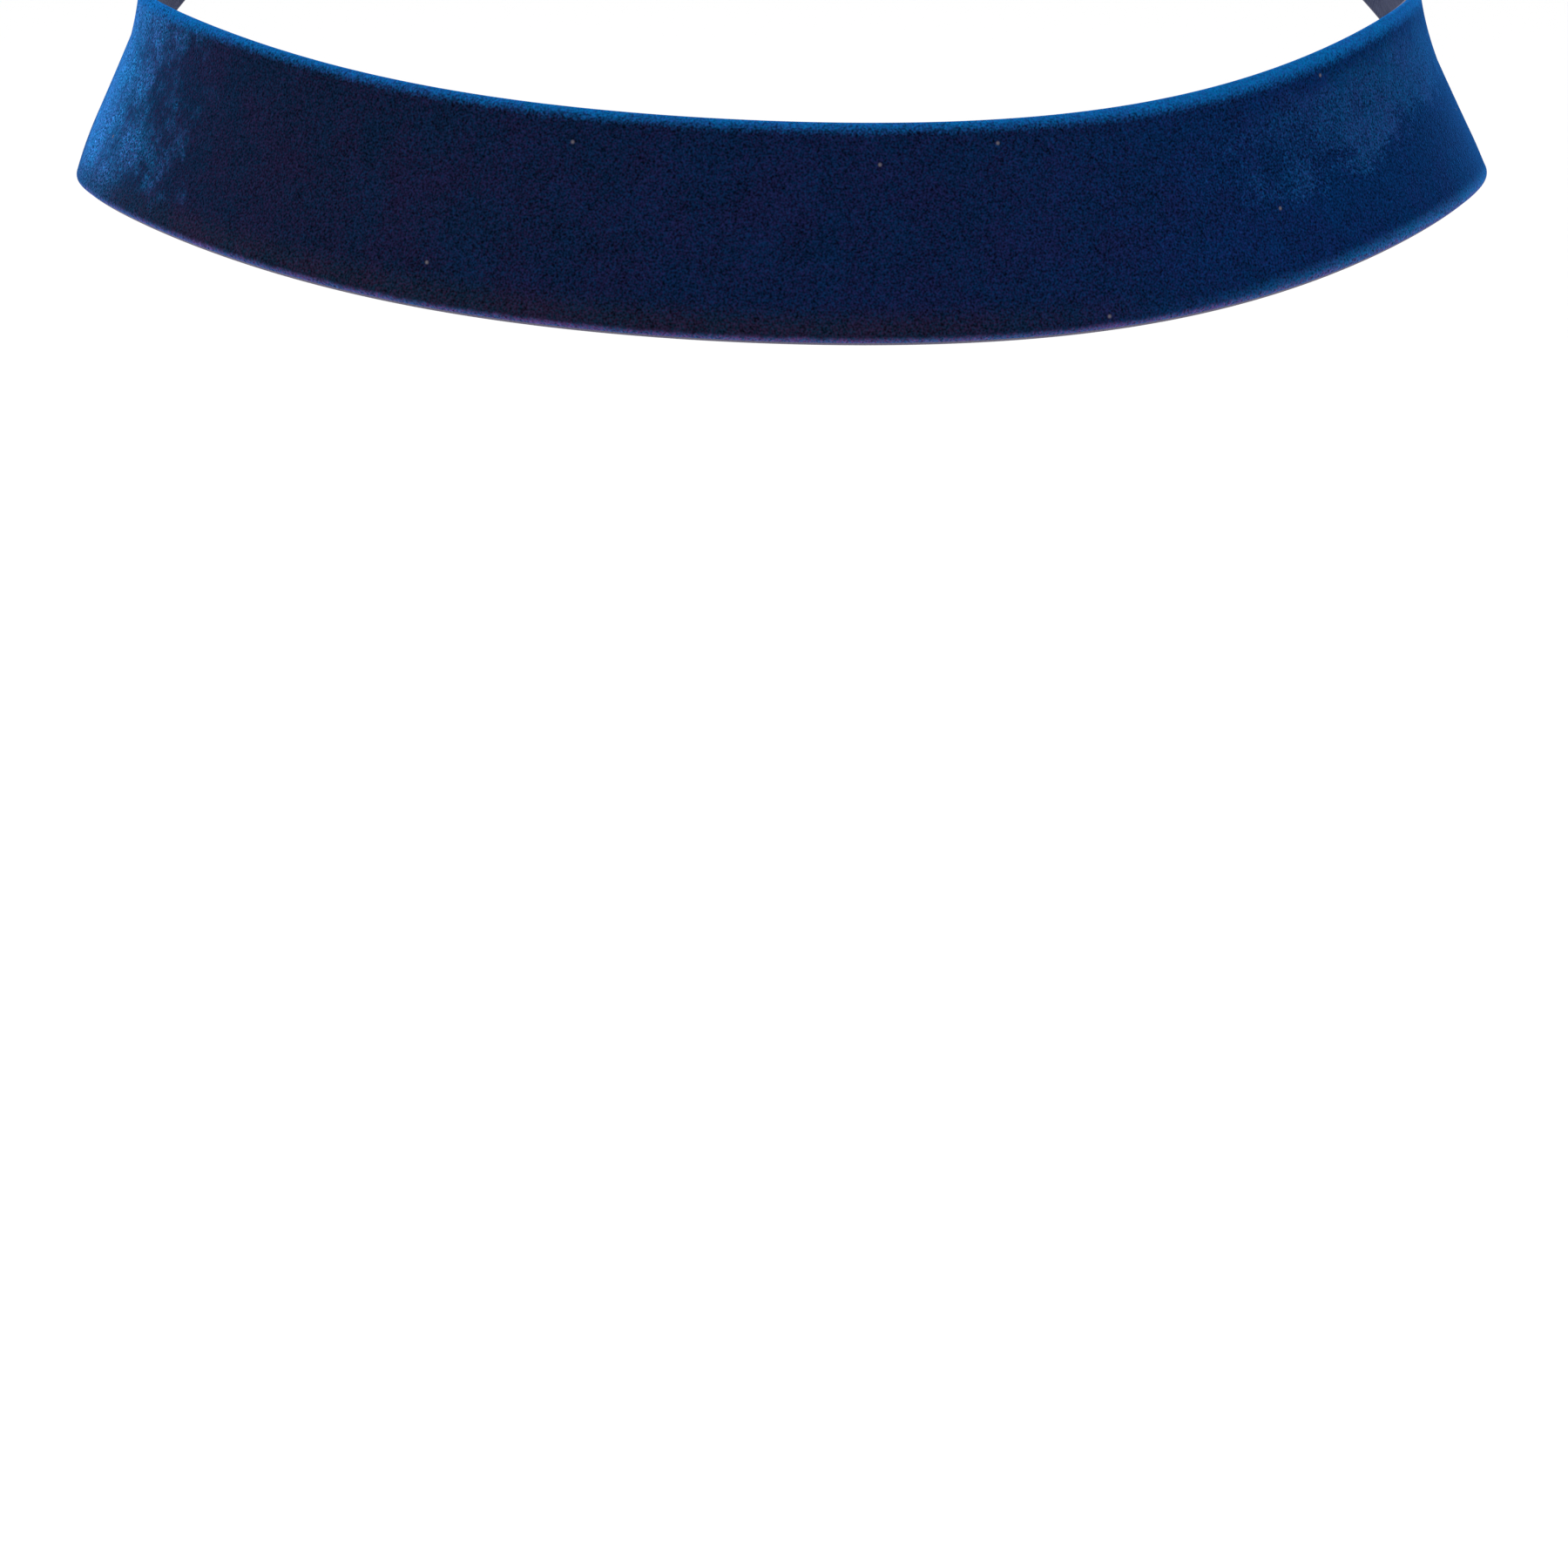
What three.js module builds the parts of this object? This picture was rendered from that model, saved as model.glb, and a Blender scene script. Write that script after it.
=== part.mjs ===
// Choker necklace: a velvet ribbon worn round the neck and closed behind by one plain clasp.
// Millimetres, +Z up the neck, -Y to the front, +X to the viewer's right. The origin is on the
// neck's axis at the middle of the ribbon's width.
import * as THREE from "three";

// ---- Driving dimensions ---------------------------------------------------------------------

const ribbon = {
  width: 16, // across the ribbon, edge to edge
  thickness: 1.2, // woven ground and pile together
  edgeRadius: 0.55, // the pile rolls over both edges
  upperFlare: 1.2, // how far the upper edge stands out from a straight section at the sides
  lowerFlare: 0.1, // and the lower edge
};

// The line that the middle of the ribbon's outer face follows, seen from above.
const loop = {
  halfWidth: 50,
  frontDepth: 46,
  backDepth: 60,
  throat: 0.018, // how much more the loop turns at the throat than an ellipse does
  napeRise: 16, // the nape sits this much higher than the sides
  riseStart: 0.1, // how softly that rise starts behind the sides, as a sine
};

// The ribbon wraps a neck that widens downwards: its top edge leans in by these angles.
const lean = { frontAndBack: 13.8, minusX: 22.4, plusX: 25 };

// Slow rises and dips of the front half, in millimetres, by how often they repeat in one turn.
const waves = [
  { repeats: 2, cosine: -1.28, sine: 0.07 },
  { repeats: 3, cosine: 0.48, sine: 2.3 },
  { repeats: 4, cosine: 1.03, sine: -0.04 },
];
const waveFade = 0.6; // the waves die out this far behind the sides, as a sine

const clasp = {
  halfLength: 6.5, // along the ribbon, from the middle of the clasp
  halfHeight: 8.6, // a little more than half the ribbon's width
  jaw: 0.7, // wall of each jaw
  halfWeb: 1.2, // half of the solid piece between the two ribbon ends
  bevel: 0.2,
};
const gap = 0.3; // between the clasp and the ribbon

const steps = { round: 120, across: 4, corner: 3, jaw: 4 };

// ---- The line round the neck ----------------------------------------------------------------

// The turn starts behind at the nape (t = 0), passes +X, the front (t = 0.5) and -X.
class NeckLine extends THREE.Curve {
  getPoint(t, target = new THREE.Vector3()) {
    const angle = 2 * Math.PI * t - Math.PI / 2;
    const ahead = Math.sin(angle);
    const x = loop.halfWidth * Math.cos(angle);
    if (ahead < 0)
      return target.set(x, -loop.backDepth * ahead, napeHeight(ahead) + waveHeight(angle));
    const bow = (ahead - loop.throat * Math.sin(3 * angle)) / (1 + loop.throat);
    return target.set(x, -loop.frontDepth * bow, waveHeight(angle));
  }
}

// A straight climb to the nape with a soft start.
function napeHeight(ahead) {
  const climb = (distance) => Math.hypot(distance, loop.riseStart) - loop.riseStart;
  return (loop.napeRise * climb(ahead)) / climb(1);
}

function waveHeight(angle) {
  const kept = THREE.MathUtils.smoothstep(Math.sin(angle), -waveFade, 0);
  const sum = waves.reduce(
    (height, wave) =>
      height +
      wave.cosine * Math.cos(wave.repeats * angle) +
      wave.sine * Math.sin(wave.repeats * angle),
    0,
  );
  return kept * sum;
}

const neckLine = new NeckLine();
neckLine.arcLengthDivisions = 2000;
const turnLength = neckLine.getLength();

// A point of the worn ribbon: `along` runs round the loop from the nape, `across` from the lower
// edge (negative) to the upper, and `out` stands off its outer face.
function worn(along, across, out) {
  const t = THREE.MathUtils.euclideanModulo(along / turnLength, 1);
  const middle = neckLine.getPointAt(t);
  const tangent = neckLine.getTangentAt(t);
  const level = new THREE.Vector3(-tangent.y, tangent.x, 0).normalize();
  const sideness = Math.min((middle.x / loop.halfWidth) ** 2, 1);
  const sideLean = middle.x < 0 ? lean.minusX : lean.plusX;
  const tilt = THREE.MathUtils.degToRad(
    THREE.MathUtils.lerp(lean.frontAndBack, sideLean, sideness),
  );
  const upward = new THREE.Vector3(0, 0, 1);
  const edgeward = turned(upward, level, -tilt);
  const outward = turned(level, upward, tilt);
  const edgeFlare = across > 0 ? ribbon.upperFlare : ribbon.lowerFlare;
  const flare = edgeFlare * sideness * (across / (ribbon.width / 2)) ** 2;
  return middle
    .addScaledVector(edgeward, across)
    .addScaledVector(outward, out)
    .addScaledVector(level, flare);
}

// The unit vector `from`, turned by `tilt` towards the unit vector `towards` at right angles to it.
function turned(from, towards, tilt) {
  return from.clone().multiplyScalar(Math.cos(tilt)).addScaledVector(towards, Math.sin(tilt));
}

// ---- The two pieces --------------------------------------------------------------------------

// Bends a straight solid round the neck. The solid is drawn with `fromPoint` saying which way its
// length, width and thickness run.
function bend(geometry, fromPoint) {
  const position = geometry.getAttribute("position");
  const point = new THREE.Vector3();
  for (let i = 0; i < position.count; i++) {
    point.fromBufferAttribute(position, i);
    position.setXYZ(i, ...worn(...fromPoint(point)).toArray());
  }
  geometry.computeVertexNormals();
  return geometry;
}

// The ribbon's section: a flat strip with rounded edges, cut in `steps.across` on each face so
// that it can take the flare. x is across the ribbon and y stands off its outer face.
function ribbonSection() {
  const { width, thickness, edgeRadius: radius } = ribbon;
  const half = width / 2;
  const flat = half - radius;
  const corners = [
    { x: flat, y: -radius, from: Math.PI / 2, to: 0 },
    { x: flat, y: radius - thickness, from: 0, to: -Math.PI / 2 },
    { x: -flat, y: radius - thickness, from: -Math.PI / 2, to: -Math.PI },
    { x: -flat, y: -radius, from: -Math.PI, to: -1.5 * Math.PI },
  ];
  const points = [];
  for (const corner of corners)
    for (let i = 0; i <= steps.corner; i++) {
      const a = THREE.MathUtils.lerp(corner.from, corner.to, i / steps.corner);
      points.push(
        new THREE.Vector2(corner.x + radius * Math.cos(a), corner.y + radius * Math.sin(a)),
      );
    }
  return new THREE.Shape(cutLongSides(points, (2 * flat) / steps.across));
}

// Cuts each side of an outline that is longer than `longest` into equal parts.
function cutLongSides(points, longest) {
  return points.flatMap((start, i) => {
    const end = points[(i + 1) % points.length];
    const parts = Math.max(1, Math.round(start.distanceTo(end) / longest));
    return Array.from({ length: parts }, (_, k) => start.clone().lerp(end, k / parts));
  });
}

function ribbonGeometry() {
  const length = turnLength - 2 * (clasp.halfWeb + gap);
  const straight = new THREE.ExtrudeGeometry(ribbonSection(), {
    depth: length,
    steps: steps.round,
    bevelEnabled: false,
  });
  return bend(straight, (p) => [p.z + clasp.halfWeb + gap, -p.x, p.y]);
}

// The clasp from above: two slots, open at the ends, with rounded lips and a solid web between.
// x runs along the ribbon and y stands off its outer face.
function claspOutline() {
  const { halfLength, halfWeb, jaw } = clasp;
  const slotTop = gap;
  const slotBottom = -ribbon.thickness - gap;
  const lip = jaw / 2;
  const straightEnd = halfLength - lip;
  const lips = [
    { x: straightEnd, y: slotBottom - lip, from: -Math.PI / 2 },
    { x: straightEnd, y: slotTop + lip, from: -Math.PI / 2 },
    { x: -straightEnd, y: slotTop + lip, from: Math.PI / 2 },
    { x: -straightEnd, y: slotBottom - lip, from: Math.PI / 2 },
  ];
  const points = [];
  lips.forEach((end, index) => {
    for (let i = 0; i <= steps.jaw; i++) {
      const a = end.from + (Math.PI * i) / steps.jaw;
      points.push(new THREE.Vector2(end.x + lip * Math.cos(a), end.y + lip * Math.sin(a)));
    }
    if (index === 0) points.push(...slotFloor(halfWeb, slotBottom, slotTop));
    if (index === 2) points.push(...slotFloor(-halfWeb, slotTop, slotBottom));
  });
  return new THREE.Shape(cutLongSides(points, 3.2));
}

function slotFloor(x, first, last) {
  return [new THREE.Vector2(x, first), new THREE.Vector2(x, last)];
}

function claspGeometry() {
  const straight = new THREE.ExtrudeGeometry(claspOutline(), {
    depth: 2 * (clasp.halfHeight - clasp.bevel),
    steps: 2,
    bevelThickness: clasp.bevel,
    bevelSize: clasp.bevel,
    bevelOffset: -clasp.bevel,
    bevelSegments: 1,
  });
  return bend(straight, (p) => [p.x, p.z + clasp.bevel - clasp.halfHeight, p.y]);
}

// ---- The necklace ----------------------------------------------------------------------------

function piece(name, geometry, look) {
  const mesh = new THREE.Mesh(geometry, new THREE.MeshStandardMaterial(look));
  mesh.name = name;
  return mesh;
}

const choker = new THREE.Group();
choker.add(
  piece("velvet_band", ribbonGeometry(), { color: 0x0d1f45, roughness: 0.9, metalness: 0 }),
  piece("clasp", claspGeometry(), { color: 0xb9bbbf, roughness: 0.35, metalness: 1 }),
);

export default choker;
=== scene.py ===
# Velvet choker necklace, worn shape: a pile ribbon round the neck, closed behind by a clasp.
# Metres, +Z up the neck, -Y to the front. Lengths below are in millimetres times MM.
import math

import bpy
import numpy as np
from mathutils import Matrix, Vector


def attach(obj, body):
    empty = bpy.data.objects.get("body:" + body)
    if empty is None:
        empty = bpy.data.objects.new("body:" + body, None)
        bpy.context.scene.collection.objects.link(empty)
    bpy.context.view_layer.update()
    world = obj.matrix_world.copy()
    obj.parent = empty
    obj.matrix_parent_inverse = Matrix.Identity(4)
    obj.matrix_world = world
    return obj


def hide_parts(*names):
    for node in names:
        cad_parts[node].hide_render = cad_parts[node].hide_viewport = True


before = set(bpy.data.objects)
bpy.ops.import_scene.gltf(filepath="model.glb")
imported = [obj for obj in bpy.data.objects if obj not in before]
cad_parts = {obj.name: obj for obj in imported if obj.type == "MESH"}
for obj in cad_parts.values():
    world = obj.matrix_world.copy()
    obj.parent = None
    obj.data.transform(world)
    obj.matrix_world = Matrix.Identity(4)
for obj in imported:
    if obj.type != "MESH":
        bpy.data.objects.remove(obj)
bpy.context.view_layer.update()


# ---- Studio ----------------------------------------------------------------------------------
# A plain white sweep: a pale floor well below the hanging necklace, an even white surround, and
# soft boxes on both sides and above. The long lens stands a metre in front and a little above.

MM = 0.001
FLOOR_SIZE, FLOOR_LEVEL = 12, -0.6  # in metres
SOFT_BOXES = (  # name, place and size in metres, power in watts
    ("left_box", (-1.3, 0.1, 0.5), 0.9, 14.0),
    ("right_box", (1.2, -0.7, 0.6), 0.9, 7.0),
    ("top_box", (0.0, 0.3, 1.4), 1.2, 10.0),
)

scene = bpy.context.scene
scene.view_settings.view_transform = "Standard"

camera_data = bpy.data.cameras.new("camera")
camera_data.lens = 305.15
camera_data.sensor_width = 36
camera_data.clip_end = 50
camera = bpy.data.objects.new("camera", camera_data)
scene.collection.objects.link(camera)
camera_place = Vector((-13.57, -970.2, 241.92)) * MM
camera_aim = Vector((0.65, -12.86, -51.53)) * MM
camera_roll = math.radians(0.646)
camera.location = camera_place
level_view = (camera_aim - camera_place).to_track_quat("-Z", "Y").to_matrix()
camera.rotation_mode = "QUATERNION"
camera.rotation_quaternion = (level_view @ Matrix.Rotation(camera_roll, 3, "Z")).to_quaternion()
scene.camera = camera

world = bpy.data.worlds.new("studio_surround")
world.use_nodes = True
world.node_tree.nodes["Background"].inputs["Color"].default_value = (1, 1, 1, 1)
world.node_tree.nodes["Background"].inputs["Strength"].default_value = 1.0
scene.world = world

bpy.ops.object.select_all(action="DESELECT")
bpy.ops.mesh.primitive_plane_add(size=FLOOR_SIZE, location=(0, 0, FLOOR_LEVEL))
floor = bpy.context.object
floor.name = "floor"
floor_paint = bpy.data.materials.new("white_floor")
floor_paint.use_nodes = True
floor_shader = floor_paint.node_tree.nodes["Principled BSDF"]
floor_shader.inputs["Base Color"].default_value = (0.92, 0.92, 0.92, 1)
floor_shader.inputs["Roughness"].default_value = 0.9
floor.data.materials.append(floor_paint)

for name, place, size, power in SOFT_BOXES:
    box_data = bpy.data.lights.new(name, "AREA")
    box_data.size = size
    box_data.energy = power
    box = bpy.data.objects.new(name, box_data)
    scene.collection.objects.link(box)
    box.location = place
    box.rotation_mode = "QUATERNION"
    box.rotation_quaternion = (-Vector(place)).to_track_quat("-Z", "Y")


# ---- Neck line -------------------------------------------------------------------------------
# The oval that the middle of the ribbon follows: level at the throat and sides but for slow rises
# and dips over the muscles, then a straight climb to the nape, because a neck leans forward.

HALF_WIDTH, FRONT_DEPTH, BACK_DEPTH = 50.0, 46.0, 60.0
THROAT = 0.018  # how much more the loop turns at the throat than an ellipse does
NAPE_RISE, RISE_START = 16.0, 0.1
WAVES = (  # repeats in one turn, cosine and sine
    (2, -1.28, 0.07),
    (3, 0.48, 2.3),
    (4, 1.03, -0.04),
)
WAVE_FADE = 0.6  # the waves die out this far behind the sides, as a sine
TABLE_STEPS = 8000  # of the table that turns a length along the line into a share of the turn


def neck_line(turn):
    """Points of the line round the neck, for turn from 0 at the nape, by +X, to 1."""
    angle = 2 * np.pi * turn - np.pi / 2
    ahead = np.sin(angle)
    bow = (ahead - THROAT * np.sin(3 * angle)) / (1 + THROAT)
    climb = (np.hypot(ahead, RISE_START) - RISE_START) / (math.hypot(1, RISE_START) - RISE_START)
    fade = np.clip((ahead + WAVE_FADE) / WAVE_FADE, 0, 1)
    wave = sum(
        cosine * np.cos(repeats * angle) + sine * np.sin(repeats * angle)
        for repeats, cosine, sine in WAVES
    )
    return np.column_stack((
        HALF_WIDTH * np.cos(angle),
        np.where(ahead < 0, -BACK_DEPTH * ahead, -FRONT_DEPTH * bow),
        np.where(ahead < 0, NAPE_RISE * climb, 0) + fade * fade * (3 - 2 * fade) * wave,
    ))


turns = np.linspace(0, 1, TABLE_STEPS + 1)
run = np.linalg.norm(np.diff(neck_line(turns), axis=0), axis=1)
run = np.concatenate(([0], np.cumsum(run)))
TURN_LENGTH = run[-1]


# ---- Woven ground ----------------------------------------------------------------------------
# The backing of the velvet ribbon: a firm polyester plain weave with a bound selvedge down each
# edge. It is drawn flat here, x along the ribbon, y across it and z out from its face.

CLASP_GAP = 1.5  # each ribbon end stops this far from the middle of the clasp
RIBBON_LENGTH = TURN_LENGTH - 2 * CLASP_GAP
RIBBON_WIDTH = 16.0
RIBBON_THICKNESS = 1.2
GROUND_THICKNESS = 0.38
TOP_INSET = 0.1  # the ground stops this much short of its width, under the rolled pile
GROUND_STEPS = 700  # along the ribbon
EDGE_STEPS, FACE_STEPS = 6, 12
BAKE_ROWS = 4  # the long strip is cut into this many rows when its colours are baked
LONG_SIDE, BAKED_SIDE = 1.5, 0.25  # a side of the section over the first is baked as the second


def strip(name, section, steps_along):
    """A straight strip of RIBBON_LENGTH with a closed section, a list of (across, out) points."""
    bpy.ops.object.select_all(action="DESELECT")
    bpy.ops.mesh.primitive_grid_add(x_subdivisions=steps_along, y_subdivisions=len(section), size=1)
    made = bpy.context.object
    made.name = made.data.name = name
    co = np.empty(len(made.data.vertices) * 3)
    made.data.vertices.foreach_get("co", co)
    co = co.reshape(-1, 3)
    row = np.rint((co[:, 1] + 0.5) * len(section)).astype(int) % len(section)
    outline = np.array(section)
    co = np.column_stack((
        (CLASP_GAP + (co[:, 0] + 0.5) * RIBBON_LENGTH) * MM,
        outline[row, 0] * MM,
        outline[row, 1] * MM,
    ))
    made.data.vertices.foreach_set("co", co.ravel())
    cut = made.data.uv_layers[0]
    cut.name = "cut"
    steps_uv = np.empty(len(made.data.loops) * 2)
    cut.data.foreach_get("uv", steps_uv)
    share_along, share_round = steps_uv.reshape(-1, 2).T
    closed = np.vstack((outline, outline[:1]))
    reach = np.linalg.norm(np.diff(closed, axis=0), axis=1)
    reach = np.concatenate(([0], np.cumsum(np.where(reach > LONG_SIDE, BAKED_SIDE, reach))))
    round_part = np.interp(share_round * len(section), range(len(reach)), reach / reach[-1])
    per_face = share_along.reshape(-1, 4).mean(axis=1).repeat(4)
    row = np.floor(per_face * BAKE_ROWS)
    baked = made.data.uv_layers.new(name="OFBake")
    baked.data.foreach_set("uv", np.column_stack((
        0.004 + 0.992 * (share_along * BAKE_ROWS - row),
        (row + 0.02 + 0.96 * round_part) / BAKE_ROWS,
    )).ravel())
    corner = np.empty(len(made.data.loops), dtype=int)
    made.data.loops.foreach_get("vertex_index", corner)
    from_throat = RIBBON_LENGTH / 2 + CLASP_GAP - co[corner, 0] / MM
    cut.data.foreach_set("uv", np.column_stack((from_throat, co[corner, 1] / MM)).ravel())
    bpy.ops.object.mode_set(mode="EDIT")
    bpy.ops.mesh.select_all(action="SELECT")
    bpy.ops.mesh.remove_doubles(threshold=1e-7)
    bpy.ops.mesh.select_all(action="DESELECT")
    bpy.ops.mesh.select_non_manifold()
    bpy.ops.mesh.edge_face_add()
    bpy.ops.mesh.select_all(action="SELECT")
    bpy.ops.mesh.normals_make_consistent(inside=False)
    bpy.ops.object.mode_set(mode="OBJECT")
    bpy.ops.object.shade_smooth()
    return made


def arc(centre, radii, start, end, steps):
    """Points (across, out) of an elliptic arc, angles in degrees from across to out."""
    return [
        (
            centre[0] + radii[0] * math.cos(math.radians(start + (end - start) * i / steps)),
            centre[1] + radii[1] * math.sin(math.radians(start + (end - start) * i / steps)),
        )
        for i in range(steps + 1)
    ]


def level_run(start, end, steps):
    """Points (across, out) evenly between two points, leaving both out."""
    return [
        (start[0] + (end[0] - start[0]) * i / steps, start[1] + (end[1] - start[1]) * i / steps)
        for i in range(1, steps)
    ]


half = RIBBON_WIDTH / 2
bead = GROUND_THICKNESS / 2
middle = bead - RIBBON_THICKNESS
low_side, top_side = -half + bead, half - bead - TOP_INSET
ground_section = (
    arc((low_side, middle), (bead, bead), 270, 90, EDGE_STEPS)
    + level_run((low_side, middle + bead), (top_side, middle + bead), FACE_STEPS)
    + arc((top_side, middle), (bead, bead), 90, -90, EDGE_STEPS)
    + level_run((top_side, middle - bead), (low_side, middle - bead), FACE_STEPS)
)
ground = strip("ribbon_ground", ground_section, GROUND_STEPS)


# ---- Pile ------------------------------------------------------------------------------------
# The velvet face: cut viscose pile about 0.8 mm tall that leans upwards, so it rolls over the top
# edge and leaves a thread of the woven ground bare along the lower edge.

PILE_ROOT = GROUND_THICKNESS - RIBBON_THICKNESS
LOW_ROLL, LOW_ROLL_RADII = (-7.15, -0.5), (0.68, 0.5)
TOP_ROLL, TOP_ROLL_RADII = (7.1, -0.55), (0.92, 0.55)
TOP_ROOT, LOW_ROOT = 7.85, -7.7
PILE_STEPS = 1200  # along the ribbon
ROLL_STEPS, NAP_STEPS, ROOT_STEPS = 12, 40, 8
pile_section = (
    arc(LOW_ROLL, LOW_ROLL_RADII, 205, 90, ROLL_STEPS)
    + level_run((LOW_ROLL[0], 0), (TOP_ROLL[0], 0), NAP_STEPS)
    + arc(TOP_ROLL, TOP_ROLL_RADII, 90, -20, ROLL_STEPS)
    + level_run((TOP_ROOT, PILE_ROOT), (LOW_ROOT, PILE_ROOT), ROOT_STEPS)
)
pile = strip("velvet_pile", pile_section, PILE_STEPS)


# ---- Worn shape ------------------------------------------------------------------------------
# The flat ribbon is laid round the neck like a low collar: it leans in at the top, and its upper
# edge stands off a little at the sides.

LEAN_FRONT, LEAN_MINUS_X, LEAN_PLUS_X = 13.8, 22.4, 25.0
UPPER_FLARE, LOWER_FLARE = 1.2, 0.1
NUDGE = 1e-4  # of a turn, each way, for the line's direction

for piece in (ground, pile):
    co = np.empty(len(piece.data.vertices) * 3)
    piece.data.vertices.foreach_get("co", co)
    along, across, out = co.reshape(-1, 3).T / MM
    turn = np.interp(along, run, turns)
    centre = neck_line(turn)
    tangent = neck_line(turn + NUDGE) - neck_line(turn - NUDGE)
    level = np.column_stack((-tangent[:, 1], tangent[:, 0], np.zeros(len(along))))
    level /= np.linalg.norm(level, axis=1, keepdims=True)
    sideness = np.minimum((centre[:, 0] / HALF_WIDTH) ** 2, 1)
    side_lean = np.where(centre[:, 0] < 0, LEAN_MINUS_X, LEAN_PLUS_X)
    tilt = np.radians(LEAN_FRONT + (side_lean - LEAN_FRONT) * sideness)[:, None]
    up = np.array([[0.0, 0.0, 1.0]])
    edgeward = up * np.cos(tilt) - level * np.sin(tilt)
    outward = level * np.cos(tilt) + up * np.sin(tilt)
    edge_flare = np.where(across > 0, UPPER_FLARE, LOWER_FLARE)
    flare = (edge_flare * sideness * (across / half) ** 2)[:, None]
    co = centre + edgeward * across[:, None] + outward * out[:, None] + level * flare
    piece.data.vertices.foreach_set("co", (co * MM).ravel())
    piece.data.update()
    bpy.ops.object.select_all(action="DESELECT")
    piece.select_set(True)
    bpy.context.view_layer.objects.active = piece
    bpy.ops.object.mode_set(mode="EDIT")
    bpy.ops.mesh.select_all(action="SELECT")
    bpy.ops.mesh.normals_make_consistent(inside=False)
    bpy.ops.object.mode_set(mode="OBJECT")


# ---- Velvet finish ---------------------------------------------------------------------------
# Dyed navy pile. Fibre ends drink the light. The azure shine of the fibre flanks is painted into the
# colour: a painted highlight along the top rim, where the pile splays, painted sheen at the right of
# the lower one, and two patches of painted sheen at the left and upper right. The body is painted
# darker at the left and brighter blue at the right for how the light falls, and painted shade browns
# the lower edge at the left and middle. Fine clumps mottle it all, and a little lint clings to it.


def add(tree, kind, label, **values):
    """A node of a material or group, with the given values on its named inputs."""
    made = tree.nodes.new(kind)
    made.label = made.name = label
    for name, value in values.items():
        made.inputs[name.replace("_", " ")].default_value = value
    return made


def noise(tree, label, vector, size, detail, roughness=0.55, distortion=0.0):
    """A noise whose blobs are about size millimetres across. Returns its value socket."""
    made = add(tree, "ShaderNodeTexNoise", label, Scale=1 / (size * MM), Detail=detail,
               Roughness=roughness, Distortion=distortion)
    tree.links.new(vector, made.inputs["Vector"])
    return made.outputs["Fac"]


def math_node(tree, operation, first, second=None, third=None):
    """The result of a math node on sockets or numbers."""
    made = tree.nodes.new("ShaderNodeMath")
    made.operation = operation
    for place, value in enumerate((first, second, third)):
        if value is None:
            continue
        if isinstance(value, (int, float)):
            made.inputs[place].default_value = value
        else:
            tree.links.new(value, made.inputs[place])
    return made.outputs[0]


def product(tree, first, *others):
    """The product of sockets and numbers."""
    for other in others:
        first = math_node(tree, "MULTIPLY", first, other)
    return first


def ramp(tree, value, start, end):
    """A smooth step of value: 0 at start, 1 at end. Start may be above end."""
    made = tree.nodes.new("ShaderNodeMapRange")
    made.interpolation_type = "SMOOTHSTEP"
    made.inputs["From Min"].default_value = start
    made.inputs["From Max"].default_value = end
    tree.links.new(value, made.inputs["Value"])
    return made.outputs["Result"]


def blend(tree, share, first, second):
    """A colour between two colours or sockets."""
    made = tree.nodes.new("ShaderNodeMix")
    made.data_type = "RGBA"
    for name, value in (("Factor_Float", share), ("A_Color", first), ("B_Color", second)):
        socket = next(x for x in made.inputs if x.identifier == name)
        if isinstance(value, (int, float)):
            socket.default_value = value
        elif isinstance(value, tuple):
            socket.default_value = (*value, 1)
        else:
            tree.links.new(value, socket)
    return next(x for x in made.outputs if x.identifier == "Result_Color")


def scaled(tree, colour, factor):
    """A colour made lighter or darker by a factor socket."""
    made = tree.nodes.new("ShaderNodeVectorMath")
    made.operation = "SCALE"
    tree.links.new(colour, made.inputs[0])
    tree.links.new(factor, made.inputs["Scale"])
    return made.outputs[0]


CLUMP_SIZE, TIP_SIZE, CLOUD_SIZE = 0.36, 0.16, 2.8
FLECK_SIZE, SHIFT_SIZE = 0.17, 3.6
CLUMP_SWING, TIP_SWING, CLOUD_SWING = 0.35, 1.7, 0.3

clumps = bpy.data.node_groups.new("pile_clumps", "ShaderNodeTree")
clumps.interface.new_socket("Vector", in_out="INPUT", socket_type="NodeSocketVector")
for name in ("Swing", "Cloud", "Height", "Tinge"):
    clumps.interface.new_socket(name, in_out="OUTPUT", socket_type="NodeSocketFloat")
given = clumps.nodes.new("NodeGroupInput")
result = clumps.nodes.new("NodeGroupOutput")
clump = noise(clumps, "clumps", given.outputs["Vector"], CLUMP_SIZE, 1.5, 0.55, 0.4)
tips = noise(clumps, "fibre tips", given.outputs["Vector"], TIP_SIZE, 0.0)
cloud = noise(clumps, "brushed cloud", given.outputs["Vector"], CLOUD_SIZE, 3.0, 0.6, 0.3)
fleck = noise(clumps, "dye flecks", given.outputs["Vector"], FLECK_SIZE, 0.0)
shift = noise(clumps, "dye shift", given.outputs["Vector"], SHIFT_SIZE, 2.0)
swing = product(clumps, math_node(clumps, "SUBTRACT", tips, 0.5), TIP_SWING)
for part, share in ((clump, CLUMP_SWING), (cloud, CLOUD_SWING)):
    swing = math_node(clumps, "MULTIPLY_ADD", math_node(clumps, "SUBTRACT", part, 0.5), share, swing)
height = math_node(clumps, "MULTIPLY_ADD", clump, 0.6, product(clumps, tips, 0.4))
tinge = math_node(clumps, "MULTIPLY_ADD", fleck, 0.6, product(clumps, shift, 0.4))
clumps.links.new(swing, result.inputs["Swing"])
clumps.links.new(cloud, result.inputs["Cloud"])
clumps.links.new(height, result.inputs["Height"])
clumps.links.new(tinge, result.inputs["Tinge"])

# The body colours below run from darker at the left to brighter blue at the right as painted light; the
# azure ones are painted sheen and a painted highlight, and the brown one is painted shade.
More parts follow.
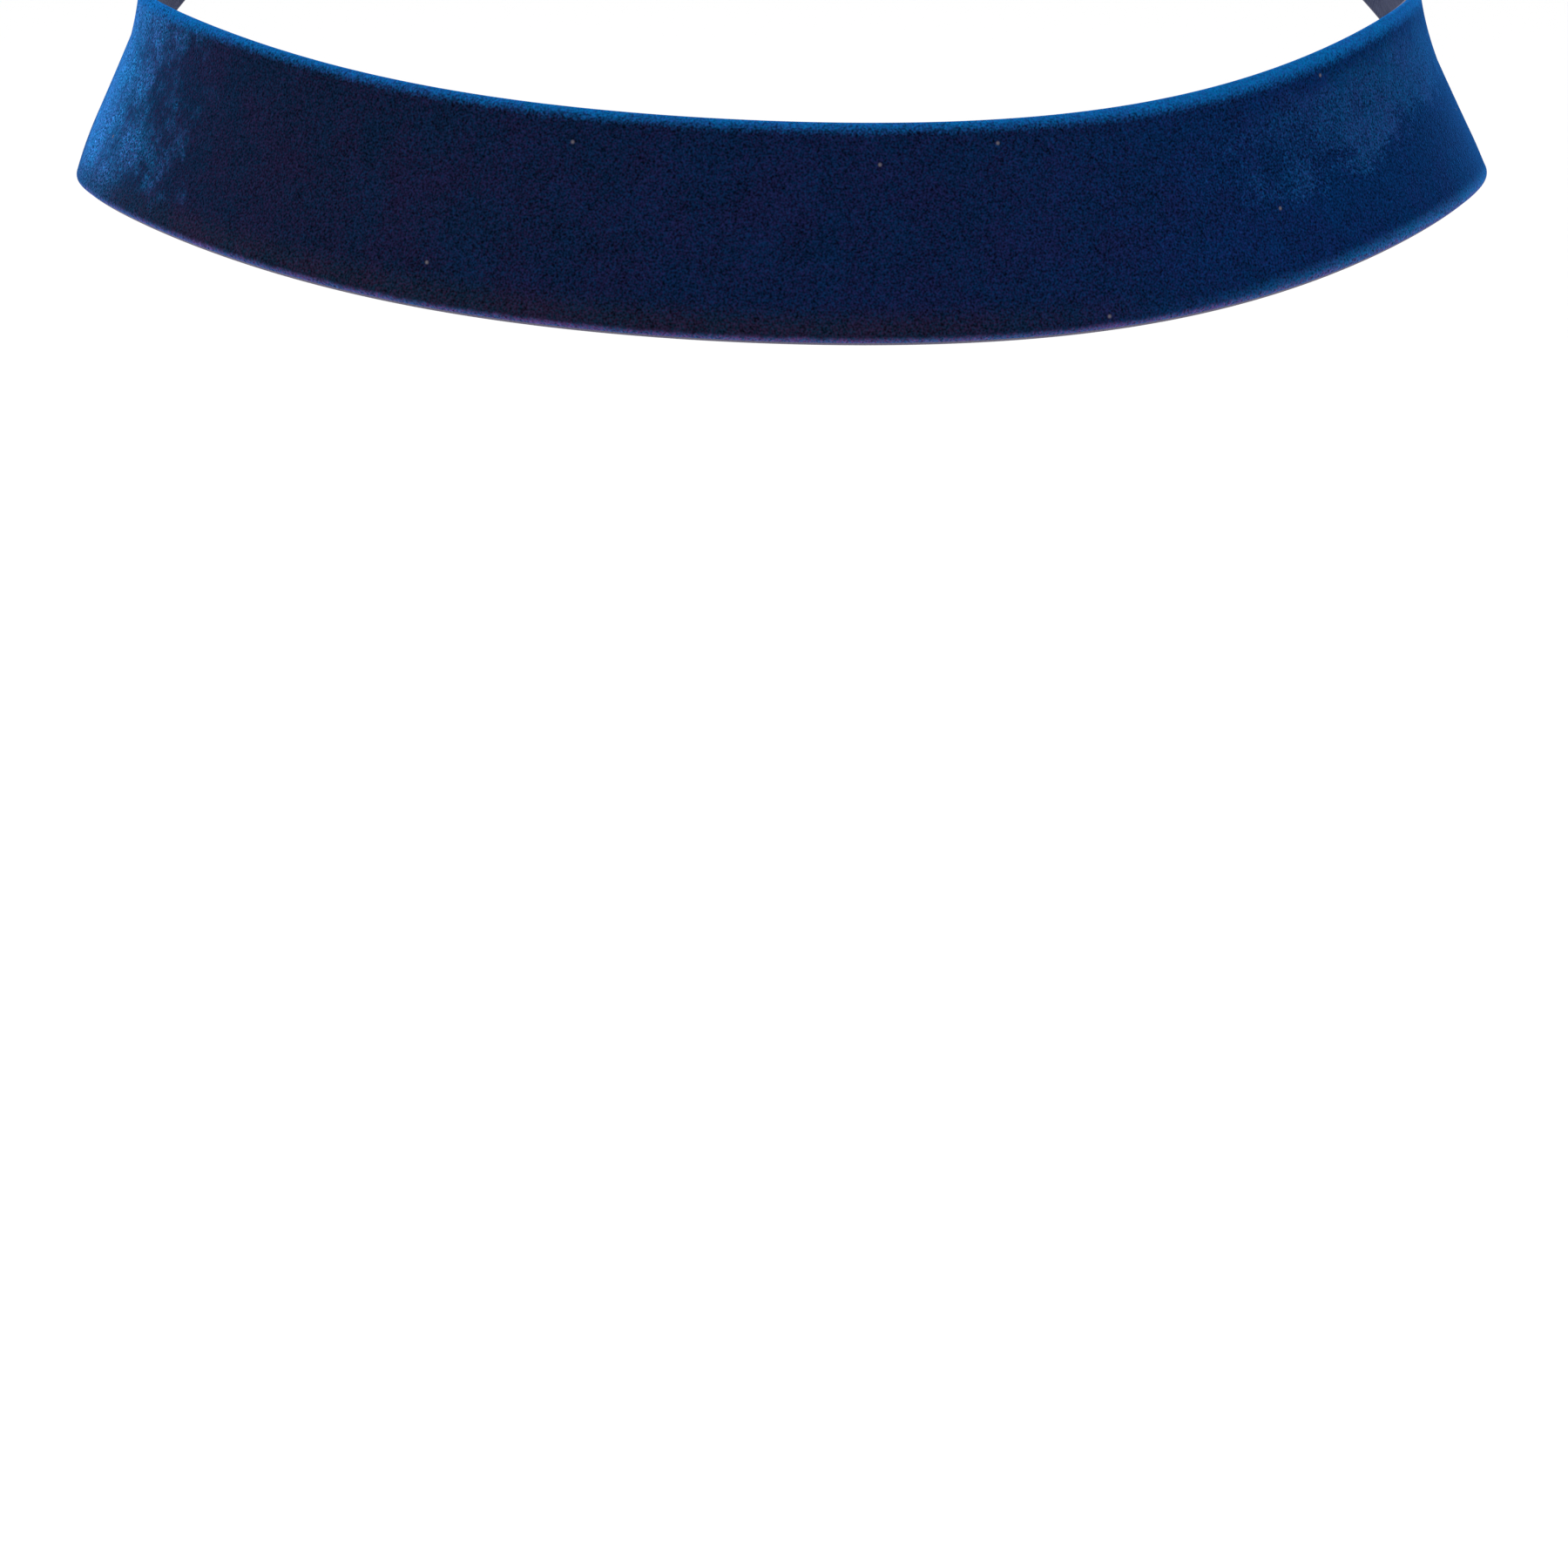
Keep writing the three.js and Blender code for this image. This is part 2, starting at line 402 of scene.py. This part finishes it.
DUSK = (0.0046, 0.0066, 0.0215)
NAVY = (0.0032, 0.0080, 0.0340)
ROYAL = (0.0016, 0.0105, 0.0500)
PAINTED_SHEEN_AZURE = (0.0140, 0.0800, 0.2300)
RIM_HIGHLIGHT_AZURE = (0.0030, 0.0620, 0.2100)
LOW_SHADE_BROWN = (0.0078, 0.0086, 0.0200)
EDGE_VIOLET = (0.0480, 0.0480, 0.1500)
LINT = (0.0900, 0.0800, 0.0950)
PURPLE_TINGE, TEAL_TINGE = (1.60, 0.84, 0.95), (0.48, 1.18, 1.05)

# Each fade runs from none to full. Those along the ribbon are in millimetres from the throat,
# positive towards +X, and those across it in millimetres up from the middle of its width.
NAVY_ALONG, ROYAL_ALONG = (-45.0, 10.0), (10.0, 50.0)
FRONT_HALF = (97.0, 76.0)
RIGHT_PATCH_ALONG, RIGHT_PATCH_SHARE = (34.0, 56.0), 0.2
PATCH_FLOOR, PATCH_TOP = (-1.8, 0.2), (6.6, 4.6)
PATCH_CLIMB_ALONG, PATCH_CLIMB = (50.0, 66.0), 2.2  # its floor rises this much towards +X
LEFT_PATCH_ALONG = (-52.0, -72.0)
LOW_SHADE_ALONG, LOW_SHADE_ACROSS, LOW_SHADE_SHARE = (34.0, 6.0), (-4.8, -7.0), 0.75
LOW_SHEEN_ALONG, LOW_SHEEN_ACROSS = (22.0, 56.0), (-6.4, -8.0)
RIM_ACROSS = (6.95, 8.1)
WIDER_RIM_RIGHT, WIDER_RIM_LEFT = ((10.0, 44.0), 0.55), ((-42.0, -62.0), 0.4)
VIOLET_ACROSS = (-7.35, -7.8)
TINGE_FADE = (0.36, 0.62)
BODY_CONTRAST, PATCH_CONTRAST, RIM_CALM, DARKEST = 1.35, 2.8, 0.55, 0.2
LINT_SPACING, LINT_RADII, LINT_PICK = 8.0, (0.026, 0.004), 0.68  # radii as shares of the spacing

velvet = bpy.data.materials.new("velvet_pile")
velvet.use_nodes = True
tree = velvet.node_tree
shader = tree.nodes["Principled BSDF"]
shader.inputs["Roughness"].default_value = 0.9
shader.inputs["Specular IOR Level"].default_value = 0.0
shader.inputs["Sheen Weight"].default_value = 0.5
shader.inputs["Sheen Roughness"].default_value = 0.3
shader.inputs["Sheen Tint"].default_value = (0.03, 0.23, 0.75, 1)
where = add(tree, "ShaderNodeTexCoord", "where")
cut_map = add(tree, "ShaderNodeUVMap", "cut")
cut_map.uv_map = "cut"
along_across = add(tree, "ShaderNodeSeparateXYZ", "along and across")
tree.links.new(cut_map.outputs["UV"], along_across.inputs[0])
along, across = along_across.outputs["X"], along_across.outputs["Y"]
mottle = add(tree, "ShaderNodeGroup", "mottle")
mottle.node_tree = clumps
tree.links.new(where.outputs["Object"], mottle.inputs["Vector"])
cloud_stray = math_node(tree, "SUBTRACT", mottle.outputs["Cloud"], 0.5)
clump_stray = math_node(tree, "SUBTRACT", mottle.outputs["Height"], 0.5)


def strayed(place, by_clump, by_cloud):
    """A place along or across, moved by the clumps and clouds, which makes a fade's edge ragged."""
    clouded = math_node(tree, "MULTIPLY_ADD", cloud_stray, by_cloud, place)
    return math_node(tree, "MULTIPLY_ADD", clump_stray, by_clump, clouded)


along_stray = strayed(along, 26.0, 24.0)
left_stray = strayed(along, 30.0, 34.0)
across_stray = strayed(across, 5.0, 7.0)
rim_stray = math_node(tree, "MULTIPLY_ADD", clump_stray, 0.8, across)

# Painted light: the body is painted darker and browner at the left and brighter blue at the right, by
# place along the ribbon, for how the light falls across the front.
body = blend(tree, ramp(tree, along_stray, *NAVY_ALONG), DUSK, NAVY)
body = blend(tree, ramp(tree, along_stray, *ROYAL_ALONG), body, ROYAL)

# Painted sheen: azure patches at the left end and the upper right of the front, where the pile flanks
# catch the lamps at a grazing angle; the mottle is stronger inside the left one.
front_half = ramp(tree, math_node(tree, "ABSOLUTE", along_stray), *FRONT_HALF)
patch_climb = ramp(tree, along, *PATCH_CLIMB_ALONG)
above_floor = math_node(tree, "MULTIPLY_ADD", patch_climb, -PATCH_CLIMB, across_stray)
patch_height = product(tree, ramp(tree, above_floor, *PATCH_FLOOR), ramp(tree, across_stray, *PATCH_TOP))
right_sheen_patch = product(tree, ramp(tree, along_stray, *RIGHT_PATCH_ALONG), patch_height, front_half)
body = blend(tree, product(tree, right_sheen_patch, RIGHT_PATCH_SHARE), body, PAINTED_SHEEN_AZURE)
left_sheen_patch = product(tree, ramp(tree, left_stray, *LEFT_PATCH_ALONG), front_half)
body = blend(tree, left_sheen_patch, body, PAINTED_SHEEN_AZURE)

# Painted shade: a darker, browner band along the lower edge at the left and middle, fading out towards
# the right.
low_shade_along = product(tree, ramp(tree, along, *LOW_SHADE_ALONG), LOW_SHADE_SHARE)
low_edge_shade = product(tree, ramp(tree, rim_stray, *LOW_SHADE_ACROSS), low_shade_along)
body = blend(tree, low_edge_shade, body, LOW_SHADE_BROWN)
# Painted sheen: azure along the lower edge at the right of the front.
low_sheen_along = product(tree, ramp(tree, along, *LOW_SHEEN_ALONG), front_half)
low_edge_sheen = product(tree, ramp(tree, rim_stray, *LOW_SHEEN_ACROSS), low_sheen_along)
body = blend(tree, low_edge_sheen, body, PAINTED_SHEEN_AZURE)

# Painted highlight: an azure band along the top rim, wider towards the right and at the far left.
(right_fade, right_wider), (left_fade, left_wider) = WIDER_RIM_RIGHT, WIDER_RIM_LEFT
wider = math_node(tree, "MULTIPLY_ADD", ramp(tree, along, *right_fade), right_wider,
                  product(tree, ramp(tree, along, *left_fade), left_wider))
rim = ramp(tree, math_node(tree, "ADD", rim_stray, wider), *RIM_ACROSS)
body = blend(tree, rim, body, RIM_HIGHLIGHT_AZURE)
body = blend(tree, ramp(tree, rim_stray, *VIOLET_ACROSS), body, EDGE_VIOLET)

tinge = blend(tree, ramp(tree, mottle.outputs["Tinge"], *TINGE_FADE), PURPLE_TINGE, TEAL_TINGE)
tinged = tree.nodes.new("ShaderNodeVectorMath")
tinged.operation = "MULTIPLY"
tree.links.new(body, tinged.inputs[0])
tree.links.new(tinge, tinged.inputs[1])
contrast = math_node(tree, "MULTIPLY_ADD", left_sheen_patch, PATCH_CONTRAST, BODY_CONTRAST)
contrast = product(tree, contrast, math_node(tree, "MULTIPLY_ADD", rim, -RIM_CALM, 1.0))
shade = math_node(tree, "MULTIPLY_ADD", mottle.outputs["Swing"], contrast, 1.0)
shade = math_node(tree, "MAXIMUM", shade, DARKEST)
dyed = scaled(tree, tinged.outputs[0], shade)

lint = add(tree, "ShaderNodeTexVoronoi", "lint", Scale=1 / LINT_SPACING)
lint.voronoi_dimensions = "2D"
tree.links.new(cut_map.outputs["UV"], lint.inputs["Vector"])
lint_pick = add(tree, "ShaderNodeSeparateXYZ", "lint pick")
tree.links.new(lint.outputs["Color"], lint_pick.inputs[0])
lint_here = product(tree, ramp(tree, lint.outputs["Distance"], *LINT_RADII),
                    math_node(tree, "GREATER_THAN", lint_pick.outputs["X"], LINT_PICK))
tree.links.new(blend(tree, lint_here, dyed, LINT), shader.inputs["Base Color"])
bump = add(tree, "ShaderNodeBump", "clump relief", Strength=0.8, Distance=0.14 * MM)
tree.links.new(mottle.outputs["Height"], bump.inputs["Height"])
tree.links.new(bump.outputs["Normal"], shader.inputs["Normal"])
pile.data.materials.append(velvet)

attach(pile, "root")
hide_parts("velvet_band")


# ---- Woven finish ----------------------------------------------------------------------------
# The inner face is the bare weave, matt and a duller navy than the pile, with uneven threads and
# a paler, greyer selvedge along each edge.

THREAD_PITCH = 0.36  # one repeat of over and under
THREAD_DARK, THREAD_LIGHT = (0.012, 0.017, 0.044), (0.032, 0.039, 0.080)
SELVEDGE, SELVEDGE_ACROSS = (0.130, 0.122, 0.165), (7.55, 7.85)
SLUB_SIZE, WEAVE_SHARE = 0.9, 0.22

weave = bpy.data.materials.new("woven_ground")
weave.use_nodes = True
tree = weave.node_tree
shader = tree.nodes["Principled BSDF"]
shader.inputs["Roughness"].default_value = 0.85
shader.inputs["Specular IOR Level"].default_value = 0.08
cut_map = add(tree, "ShaderNodeUVMap", "cut")
cut_map.uv_map = "cut"
along_across = add(tree, "ShaderNodeSeparateXYZ", "along and across")
tree.links.new(cut_map.outputs["UV"], along_across.inputs[0])
along, across = along_across.outputs["X"], along_across.outputs["Y"]
warp = math_node(tree, "SINE", product(tree, across, 2 * math.pi / THREAD_PITCH))
weft = math_node(tree, "SINE", product(tree, along, 2 * math.pi / THREAD_PITCH))
over_under = product(tree, warp, weft)
where = add(tree, "ShaderNodeTexCoord", "where")
slub = noise(tree, "slub", where.outputs["Object"], SLUB_SIZE, 3.0)
thread = math_node(tree, "MULTIPLY_ADD", over_under, WEAVE_SHARE, slub)
woven = blend(tree, ramp(tree, thread, 0.2, 0.8), THREAD_DARK, THREAD_LIGHT)
outer_edge = ramp(tree, math_node(tree, "ABSOLUTE", across), *SELVEDGE_ACROSS)
woven = blend(tree, outer_edge, woven, SELVEDGE)
tree.links.new(woven, shader.inputs["Base Color"])
bump = add(tree, "ShaderNodeBump", "thread relief", Strength=0.7, Distance=0.08 * MM)
tree.links.new(thread, bump.inputs["Height"])
tree.links.new(bump.outputs["Normal"], shader.inputs["Normal"])
ground.data.materials.append(weave)

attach(ground, "root")
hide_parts("velvet_band")


# ---- Clasp -----------------------------------------------------------------------------------
# A plain folded clamp of plated zinc that grips both ribbon ends behind the neck. Its satin
# plating is brushed along the ribbon and slightly clouded by handling.

PLATING_DULL, PLATING_CLEAN = (0.40, 0.40, 0.41), (0.48, 0.48, 0.49)
CLOUDING_SIZE, CLOUDING_FADE = 5.0, (0.3, 0.75)
BRUSH_LINE, BRUSH_STRETCH = 0.12, (0.08, 1.0, 1.0)

plating = bpy.data.materials.new("clasp_plating")
plating.use_nodes = True
tree = plating.node_tree
shader = tree.nodes["Principled BSDF"]
shader.inputs["Metallic"].default_value = 1.0
where = add(tree, "ShaderNodeTexCoord", "where")
grain_frame = add(tree, "ShaderNodeMapping", "brushing", Scale=BRUSH_STRETCH)
tree.links.new(where.outputs["Object"], grain_frame.inputs["Vector"])
brushing = noise(tree, "brush lines", grain_frame.outputs["Vector"], BRUSH_LINE, 3.0, 0.6)
clouding = noise(tree, "handling marks", where.outputs["Object"], CLOUDING_SIZE, 2.0)
plated = blend(tree, ramp(tree, clouding, *CLOUDING_FADE), PLATING_DULL, PLATING_CLEAN)
tree.links.new(plated, shader.inputs["Base Color"])
tree.links.new(math_node(tree, "MULTIPLY_ADD", brushing, 0.22, 0.22), shader.inputs["Roughness"])
bump = add(tree, "ShaderNodeBump", "brush relief", Strength=0.25, Distance=0.02 * MM)
tree.links.new(brushing, bump.inputs["Height"])
tree.links.new(bump.outputs["Normal"], shader.inputs["Normal"])
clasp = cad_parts["clasp"]
clasp.data.materials.clear()
clasp.data.materials.append(plating)
